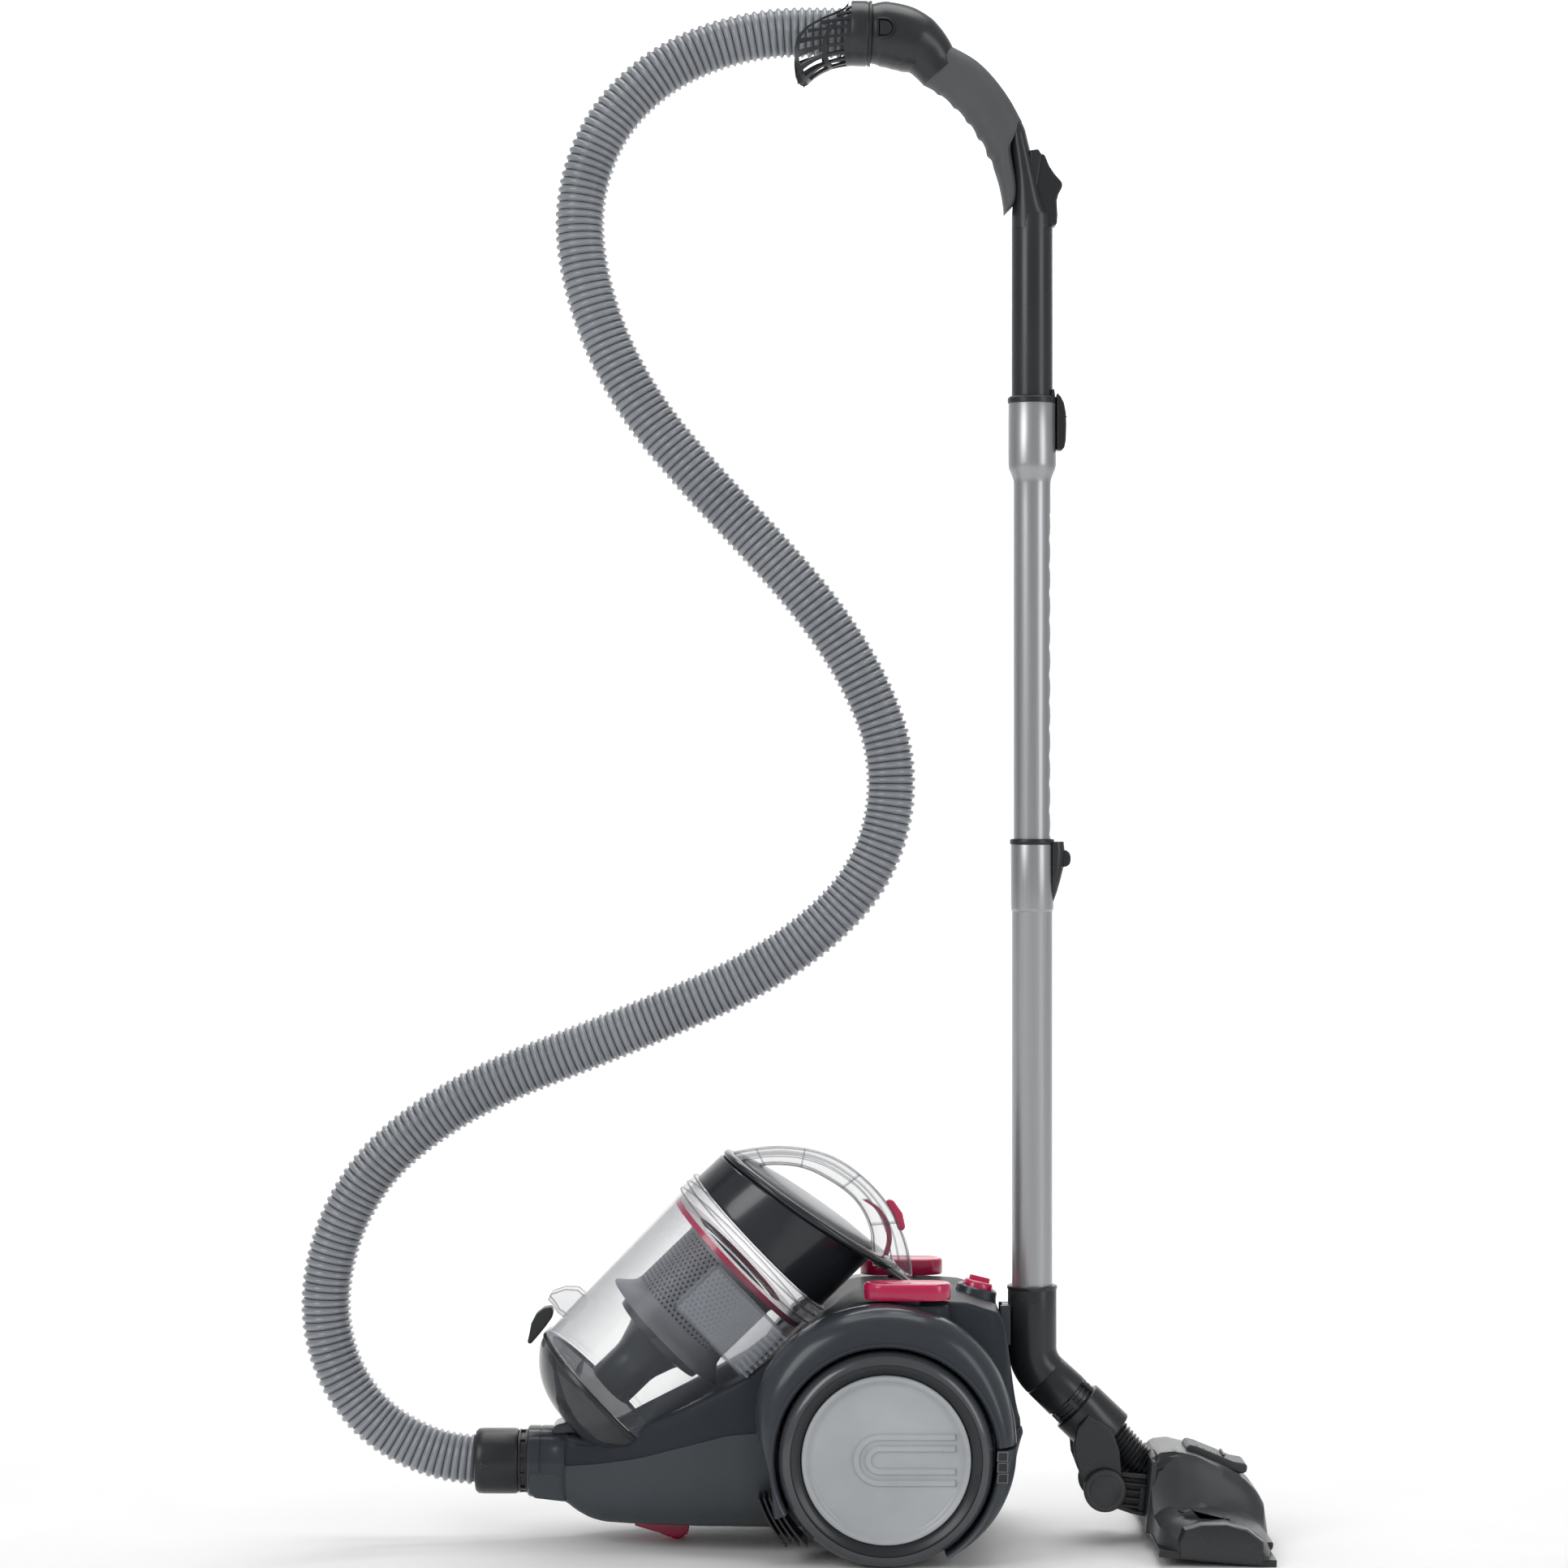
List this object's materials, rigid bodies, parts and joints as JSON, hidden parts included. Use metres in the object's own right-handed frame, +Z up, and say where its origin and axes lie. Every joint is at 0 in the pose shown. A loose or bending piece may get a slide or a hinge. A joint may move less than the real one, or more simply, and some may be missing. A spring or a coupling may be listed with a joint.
{
  "type": "canister vacuum cleaner",
  "caption": "Bagless canister vacuum cleaner with a tilted clear dust bin, parked telescopic wand, ribbed hose and floor head.",
  "frame": {"origin": "on the floor under the wheel axle, midway between the wheels", "axes": "+Z up, +X from the hose inlet to the parked wand, +Y along the axle"},
  "size_m": [0.8296, 0.292, 1.3259],
  "materials": {
    "hull_plastic": "moulded, fine texture",
    "shell_gloss": "gloss",
    "black_plastic": "satin",
    "clear_plastic": "clear polycarbonate",
    "smoked_plastic": "smoked",
    "red_plastic": "gloss",
    "silver_plastic": "silver",
    "wheel_plastic": "satin",
    "wheel_tread": "satin",
    "steel": "turned",
    "aluminium_tube": "satin anodised",
    "hose_plastic": "ribbed",
    "grip_rubber": "soft touch",
    "filter_foam": "felt",
    "bristle": "bristle",
    "inner_plastic": "moulded"
  },
  "bodies": {
    "canister": {"lower_hull": "hull_plastic", "upper_shell": "shell_gloss", "wheel_arch_left": "shell_gloss", "wheel_arch_right": "shell_gloss", "inlet_socket": "shell_gloss", "exhaust_filter": "filter_foam", "cord_outlet": "black_plastic", "wheel_axles": "steel", "motor_housing": "steel", "reel_axle": "steel", "circuit_board": "inner_plastic", "hose": "hose_plastic"},
    "left_wheel": {"wheel_rim_left": "wheel_plastic", "wheel_tyre_left": "wheel_tread"},
    "right_wheel": {"wheel_rim_right": "wheel_plastic", "wheel_tyre_right": "wheel_tread"},
    "caster": {"caster_fork": "red_plastic"},
    "caster_wheel": {"caster_roller": "red_plastic"},
    "fan": {"motor_rotor": "steel"},
    "reel": {"cord_reel": "inner_plastic"},
    "power_pedal": {"power_pedal": "red_plastic"},
    "rewind_pedal": {"rewind_pedal": "red_plastic"},
    "power_dial": {"power_knob": "red_plastic"},
    "bin": {"bin_cup": "clear_plastic", "red_ring": "red_plastic", "bin_cover": "shell_gloss", "top_bezel": "shell_gloss", "top_lid": "silver_plastic", "bin_handle": "clear_plastic", "shroud": "smoked_plastic", "motor_filter": "filter_foam", "flap_pin": "steel"},
    "flap": {"bin_flap": "smoked_plastic"},
    "latch": {"flap_latch": "black_plastic"},
    "bin_release": {"release_button": "red_plastic"},
    "wand_top": {"upper_tube": "aluminium_tube", "handle_tube": "black_plastic", "hand_grip": "grip_rubber", "handle_core": "black_plastic", "handle_elbow": "black_plastic"},
    "air_control": {"air_slider": "black_plastic"},
    "hose_release": {"hose_button": "black_plastic"},
    "guard": {"hose_guard": "black_plastic"},
    "wand_release": {"wand_latch": "black_plastic"},
    "wand_bottom": {"lower_tube": "aluminium_tube", "tele_sleeve": "aluminium_tube", "wand_ring": "black_plastic", "neck_elbow": "black_plastic"},
    "tube_release": {"tele_button": "black_plastic"},
    "neck": {"neck_collar": "black_plastic", "joint_yoke": "black_plastic", "pivot_pin": "steel", "bellows": "grip_rubber"},
    "neck_wheels": {"joint_rollers": "black_plastic"},
    "head": {"head_cover": "black_plastic", "sole_plate": "black_plastic", "fork_arm": "black_plastic"},
    "floor_pedal": {"head_pedal": "black_plastic"},
    "brushes": {"brush_strips": "bristle"},
    "cuff": {"hose_cuff": "black_plastic"}
  },
  "joints": [
    {"name": "left_wheel_spin", "type": "hinge", "parent": "canister", "child": "left_wheel", "pos_m": [0, 0.125, 0.09], "axis": [0, 1, 0], "continuous": true},
    {"name": "right_wheel_spin", "type": "hinge", "parent": "canister", "child": "right_wheel", "pos_m": [0, -0.125, 0.09], "axis": [0, 1, 0], "continuous": true},
    {"name": "caster_swivel", "type": "hinge", "parent": "canister", "child": "caster", "pos_m": [-0.205, 0, 0.02], "axis": [0, 0, 1], "continuous": true},
    {"name": "caster_roll", "type": "hinge", "parent": "caster", "child": "caster_wheel", "pos_m": [-0.177, 0, 0.009], "axis": [0, 1, 0], "continuous": true},
    {"name": "fan_spin", "type": "hinge", "parent": "canister", "child": "fan", "pos_m": [0.03, 0.044, 0.108], "axis": [0, 1, 0], "continuous": true},
    {"name": "reel_spin", "type": "hinge", "parent": "canister", "child": "reel", "pos_m": [0.03, -0.046, 0.11], "axis": [0, 1, 0], "continuous": true},
    {"name": "power_press", "type": "slide", "parent": "canister", "child": "power_pedal", "axis": [0, 0, -1], "range_m": [0, 0.004], "stiffness_N_per_m": 900, "springref_m": -0.004},
    {"name": "rewind_press", "type": "slide", "parent": "canister", "child": "rewind_pedal", "axis": [0, 0, -1], "range_m": [0, 0.004], "stiffness_N_per_m": 900, "springref_m": -0.004},
    {"name": "power_turn", "type": "hinge", "parent": "canister", "child": "power_dial", "pos_m": [0.082, 0, 0.2155], "axis": [0.2419, 0, 0.9703], "range_deg": [-135, 135]},
    {"name": "bin_lift", "type": "slide", "parent": "canister", "child": "bin", "axis": [0, 0, 1], "range_m": [0, 0.11]},
    {"name": "flap_open", "type": "hinge", "parent": "bin", "child": "flap", "pos_m": [-0.18247, 0, 0.06368], "axis": [0, -1, 0], "range_deg": [0, 34.4]},
    {"name": "latch_press", "type": "hinge", "parent": "bin", "child": "latch", "pos_m": [-0.30032, 0, 0.17924], "axis": [0, 1, 0], "range_deg": [0, 8], "stiffness_Nm_per_rad": 1.5, "springref_deg": -17.19},
    {"name": "bin_release_press", "type": "slide", "parent": "bin", "child": "bin_release", "axis": [-0.9, 0, -0.436], "range_m": [0, 0.003], "stiffness_N_per_m": 600, "springref_m": -0.003},
    {"name": "wand_park", "type": "slide", "parent": "canister", "child": "wand_top", "axis": [0, 0, 1], "range_m": [0, 0.12], "deforming": ["hose"]},
    {"name": "air_slide", "type": "slide", "parent": "wand_top", "child": "air_control", "axis": [-0.2, 0, 0.9798], "range_m": [0, 0.01]},
    {"name": "hose_release_press", "type": "slide", "parent": "wand_top", "child": "hose_release", "axis": [0, 1, 0], "range_m": [0, 0.003], "stiffness_N_per_m": 600, "springref_m": -0.003},
    {"name": "guard_swivel", "type": "hinge", "parent": "wand_top", "child": "guard", "pos_m": [-0.012, 0, 1.297], "axis": [-0.9995, 0, 0.03], "continuous": true},
    {"name": "wand_release_press", "type": "slide", "parent": "wand_top", "child": "wand_release", "axis": [-1, 0, 0], "range_m": [0, 0.0015], "stiffness_N_per_m": 600, "springref_m": -0.0015},
    {"name": "telescope", "type": "slide", "parent": "wand_top", "child": "wand_bottom", "axis": [0, 0, 1], "range_m": [0, 0.3]},
    {"name": "tube_release_press", "type": "slide", "parent": "wand_bottom", "child": "tube_release", "axis": [-1, 0, 0], "range_m": [0, 0.003], "stiffness_N_per_m": 600, "springref_m": -0.003},
    {"name": "neck_swivel", "type": "hinge", "parent": "wand_bottom", "child": "neck", "pos_m": [0.1399, 0, 0.14034], "axis": [0.7254, 0, -0.6884], "range_deg": [-90, 90]},
    {"name": "neck_roll", "type": "hinge", "parent": "neck", "child": "neck_wheels", "pos_m": [0.1895, 0, 0.0464], "axis": [0, 1, 0], "continuous": true},
    {"name": "head_pitch", "type": "hinge", "parent": "neck", "child": "head", "pos_m": [0.1895, 0, 0.0464], "axis": [0, 1, 0], "range_deg": [-35, 25], "deforming": ["bellows"]},
    {"name": "floor_pedal_rock", "type": "hinge", "parent": "head", "child": "floor_pedal", "pos_m": [0.28558, 0, 0.0661], "axis": [0, 1, 0], "range_deg": [0, 7]},
    {"name": "brush_drop", "type": "slide", "parent": "head", "child": "brushes", "axis": [-0.0872, 0, -0.9962], "range_m": [0, 0.002]},
    {"name": "cuff_swivel", "type": "hinge", "parent": "canister", "child": "cuff", "pos_m": [-0.328, 0, 0.0665], "axis": [1, 0, 0], "continuous": true}
  ],
  "couplings": [
    {"joint": "flap_open", "follows": "bin_lift", "rad_per_m": 5.45},
    {"joint": "brush_drop", "follows": "floor_pedal_rock", "m_per_rad": 0.0163}
  ]
}
